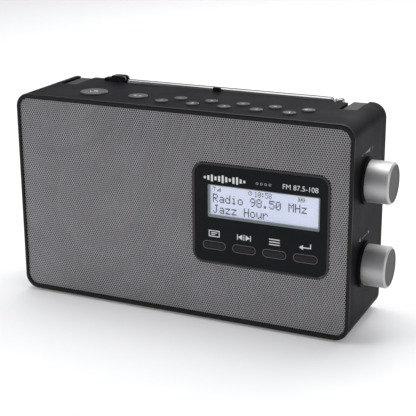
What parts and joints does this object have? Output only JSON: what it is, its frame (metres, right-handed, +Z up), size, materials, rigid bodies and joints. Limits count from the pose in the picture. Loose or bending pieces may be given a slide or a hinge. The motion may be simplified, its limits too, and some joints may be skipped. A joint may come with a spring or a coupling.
{
  "type": "tabletop radio",
  "caption": "Portable tabletop radio with a perforated metal front, display panel, top keys, side knobs, telescopic aerial and folding carrying handle.",
  "frame": {"origin": "on the surface that the radio stands on, under the middle of the whole radio, its knobs included", "axes": "+Z up, +X to the right as seen from the front, the perforated front faces -Y"},
  "size_m": [0.2688, 0.0702, 0.1528],
  "materials": {
    "cabinet_plastic": "fine satin texture, near-black charcoal",
    "rear_plastic": "fine matte texture, near black",
    "grille_metal": "perforated sheet, silver-grey satin paint",
    "panel_gloss": "polished black",
    "lens": "clear acrylic lens",
    "lcd": "backlit bluish white display with dark characters",
    "lcd_frame": "moulded light grey",
    "circuit_board": "green solder mask",
    "switch_plastic": "moulded",
    "panel_key_gloss": "polished dark grey with a pale rim",
    "top_key_plastic": "metallic grey paint",
    "knob_metal": "turned and satin anodised",
    "knob_core_plastic": "moulded",
    "steel": "plated",
    "control_housing": "zinc plated",
    "speaker_frame": "pressed steel, black",
    "speaker_paper": "pressed paper",
    "magnet": "sintered ferrite",
    "handle_plastic": "satin dark grey",
    "aerial_plastic": "moulded black",
    "aerial_chrome": "polished",
    "cell_jacket": "printed jacket, plain",
    "socket_plastic": "moulded",
    "foot_rubber": "soft"
  },
  "bodies": {
    "cabinet": {"front_cabinet": "cabinet_plastic", "rear_cabinet": "rear_plastic", "speaker_grille": "grille_metal", "display_bezel": "panel_gloss", "display_window": "lens", "lcd_glass": "lcd", "lcd_holder": "lcd_frame", "display_board": "circuit_board", "panel_key_switches": "switch_plastic", "top_key_board": "circuit_board", "top_key_switches": "switch_plastic", "volume_control": "control_housing", "tuning_encoder": "control_housing", "speaker_basket": "speaker_frame", "speaker_cone": "speaker_paper", "speaker_magnet": "magnet", "speaker_screws": "steel", "main_board": "circuit_board", "tuner_shield": "steel", "handle_pins": "steel", "battery_tray": "rear_plastic", "battery_contacts": "steel", "battery_cells": "cell_jacket", "aerial_rest": "aerial_plastic", "headphone_socket": "socket_plastic", "power_socket": "socket_plastic", "rubber_feet": "foot_rubber", "case_screws": "steel"},
    "power_key": {"power_key": "top_key_plastic"},
    "snooze_key": {"snooze_key": "top_key_plastic"},
    "top_key_1": {"top_key_1": "top_key_plastic"},
    "top_key_2": {"top_key_2": "top_key_plastic"},
    "top_key_3": {"top_key_3": "top_key_plastic"},
    "top_key_4": {"top_key_4": "top_key_plastic"},
    "top_key_5": {"top_key_5": "top_key_plastic"},
    "top_key_6": {"top_key_6": "top_key_plastic"},
    "top_key_7": {"top_key_7": "top_key_plastic"},
    "top_key_8": {"top_key_8": "top_key_plastic"},
    "top_key_9": {"top_key_9": "top_key_plastic"},
    "top_key_10": {"top_key_10": "top_key_plastic"},
    "display_key": {"display_key": "panel_key_gloss"},
    "autotune_key": {"autotune_key": "panel_key_gloss"},
    "menu_key": {"menu_key": "panel_key_gloss"},
    "enter_key": {"enter_key": "panel_key_gloss"},
    "volume_knob": {"volume_knob_cap": "knob_metal", "volume_knob_core": "knob_core_plastic", "volume_shaft": "steel"},
    "tuning_knob": {"tuning_knob_cap": "knob_metal", "tuning_knob_core": "knob_core_plastic", "tuning_shaft": "steel"},
    "handle": {"carry_handle": "handle_plastic"},
    "turret": {"aerial_turret": "aerial_plastic", "aerial_hinge_pin": "steel"},
    "tube_1": {"aerial_tube_1": "aerial_chrome"},
    "tube_2": {"aerial_tube_2": "aerial_chrome"},
    "tube_3": {"aerial_tube_3": "aerial_chrome"},
    "tube_4": {"aerial_tube_4": "aerial_chrome"},
    "tube_5": {"aerial_tube_5": "aerial_chrome"},
    "battery_door": {"battery_door": "rear_plastic"}
  },
  "joints": [
    {"name": "power_key_press", "type": "slide", "parent": "cabinet", "child": "power_key", "axis": [0, 0, -1], "range_m": [0, 0.0007], "stiffness_N_per_m": 400, "springref_m": -0.002},
    {"name": "snooze_key_press", "type": "slide", "parent": "cabinet", "child": "snooze_key", "axis": [0, 0, -1], "range_m": [0, 0.0007], "stiffness_N_per_m": 400, "springref_m": -0.002},
    {"name": "top_key_1_press", "type": "slide", "parent": "cabinet", "child": "top_key_1", "axis": [0, 0, -1], "range_m": [0, 0.0007], "stiffness_N_per_m": 400, "springref_m": -0.002},
    {"name": "top_key_2_press", "type": "slide", "parent": "cabinet", "child": "top_key_2", "axis": [0, 0, -1], "range_m": [0, 0.0007], "stiffness_N_per_m": 400, "springref_m": -0.002},
    {"name": "top_key_3_press", "type": "slide", "parent": "cabinet", "child": "top_key_3", "axis": [0, 0, -1], "range_m": [0, 0.0007], "stiffness_N_per_m": 400, "springref_m": -0.002},
    {"name": "top_key_4_press", "type": "slide", "parent": "cabinet", "child": "top_key_4", "axis": [0, 0, -1], "range_m": [0, 0.0007], "stiffness_N_per_m": 400, "springref_m": -0.002},
    {"name": "top_key_5_press", "type": "slide", "parent": "cabinet", "child": "top_key_5", "axis": [0, 0, -1], "range_m": [0, 0.0007], "stiffness_N_per_m": 400, "springref_m": -0.002},
    {"name": "top_key_6_press", "type": "slide", "parent": "cabinet", "child": "top_key_6", "axis": [0, 0, -1], "range_m": [0, 0.0007], "stiffness_N_per_m": 400, "springref_m": -0.002},
    {"name": "top_key_7_press", "type": "slide", "parent": "cabinet", "child": "top_key_7", "axis": [0, 0, -1], "range_m": [0, 0.0007], "stiffness_N_per_m": 400, "springref_m": -0.002},
    {"name": "top_key_8_press", "type": "slide", "parent": "cabinet", "child": "top_key_8", "axis": [0, 0, -1], "range_m": [0, 0.0007], "stiffness_N_per_m": 400, "springref_m": -0.002},
    {"name": "top_key_9_press", "type": "slide", "parent": "cabinet", "child": "top_key_9", "axis": [0, 0, -1], "range_m": [0, 0.0007], "stiffness_N_per_m": 400, "springref_m": -0.002},
    {"name": "top_key_10_press", "type": "slide", "parent": "cabinet", "child": "top_key_10", "axis": [0, 0, -1], "range_m": [0, 0.0007], "stiffness_N_per_m": 400, "springref_m": -0.002},
    {"name": "display_key_press", "type": "slide", "parent": "cabinet", "child": "display_key", "axis": [0, 1, 0], "range_m": [0, 0.0007], "stiffness_N_per_m": 400, "springref_m": -0.002},
    {"name": "autotune_key_press", "type": "slide", "parent": "cabinet", "child": "autotune_key", "axis": [0, 1, 0], "range_m": [0, 0.0007], "stiffness_N_per_m": 400, "springref_m": -0.002},
    {"name": "menu_key_press", "type": "slide", "parent": "cabinet", "child": "menu_key", "axis": [0, 1, 0], "range_m": [0, 0.0007], "stiffness_N_per_m": 400, "springref_m": -0.002},
    {"name": "enter_key_press", "type": "slide", "parent": "cabinet", "child": "enter_key", "axis": [0, 1, 0], "range_m": [0, 0.0007], "stiffness_N_per_m": 400, "springref_m": -0.002},
    {"name": "volume_turn", "type": "hinge", "parent": "cabinet", "child": "volume_knob", "pos_m": [0.11565, -0.0069, 0.1057], "axis": [1, 0, 0], "range_deg": [-140, 140]},
    {"name": "tuning_turn", "type": "hinge", "parent": "cabinet", "child": "tuning_knob", "pos_m": [0.11565, -0.0069, 0.0478], "axis": [1, 0, 0], "continuous": true},
    {"name": "handle_swing", "type": "hinge", "parent": "cabinet", "child": "handle", "pos_m": [-0.00935, 0.0115, 0.1447], "axis": [1, 0, 0], "range_deg": [0, 115]},
    {"name": "aerial_swivel", "type": "hinge", "parent": "cabinet", "child": "turret", "pos_m": [-0.08935, 0.0301, 0.1483], "axis": [0, 0, 1], "range_deg": [0, 90]},
    {"name": "aerial_tilt", "type": "hinge", "parent": "turret", "child": "tube_1", "pos_m": [-0.08435, 0.0301, 0.1473], "axis": [0, 1, 0], "range_deg": [-90, 0]},
    {"name": "aerial_extend_1", "type": "slide", "parent": "tube_1", "child": "tube_2", "axis": [1, 0, 0], "range_m": [0, 0.12]},
    {"name": "aerial_extend_2", "type": "slide", "parent": "tube_2", "child": "tube_3", "axis": [1, 0, 0], "range_m": [0, 0.12]},
    {"name": "aerial_extend_3", "type": "slide", "parent": "tube_3", "child": "tube_4", "axis": [1, 0, 0], "range_m": [0, 0.12]},
    {"name": "aerial_extend_4", "type": "slide", "parent": "tube_4", "child": "tube_5", "axis": [1, 0, 0], "range_m": [0, 0.12]},
    {"name": "battery_door_swing", "type": "hinge", "parent": "cabinet", "child": "battery_door", "pos_m": [0.05065, 0.0335, 0.012], "axis": [-1, 0, 0], "range_deg": [0, 90]}
  ],
  "couplings": [
    {"joint": "aerial_extend_1", "follows": "aerial_tilt", "m_per_rad": -0.07639},
    {"joint": "aerial_extend_2", "follows": "aerial_tilt", "m_per_rad": -0.07639},
    {"joint": "aerial_extend_3", "follows": "aerial_tilt", "m_per_rad": -0.07639},
    {"joint": "aerial_extend_4", "follows": "aerial_tilt", "m_per_rad": -0.07639}
  ]
}
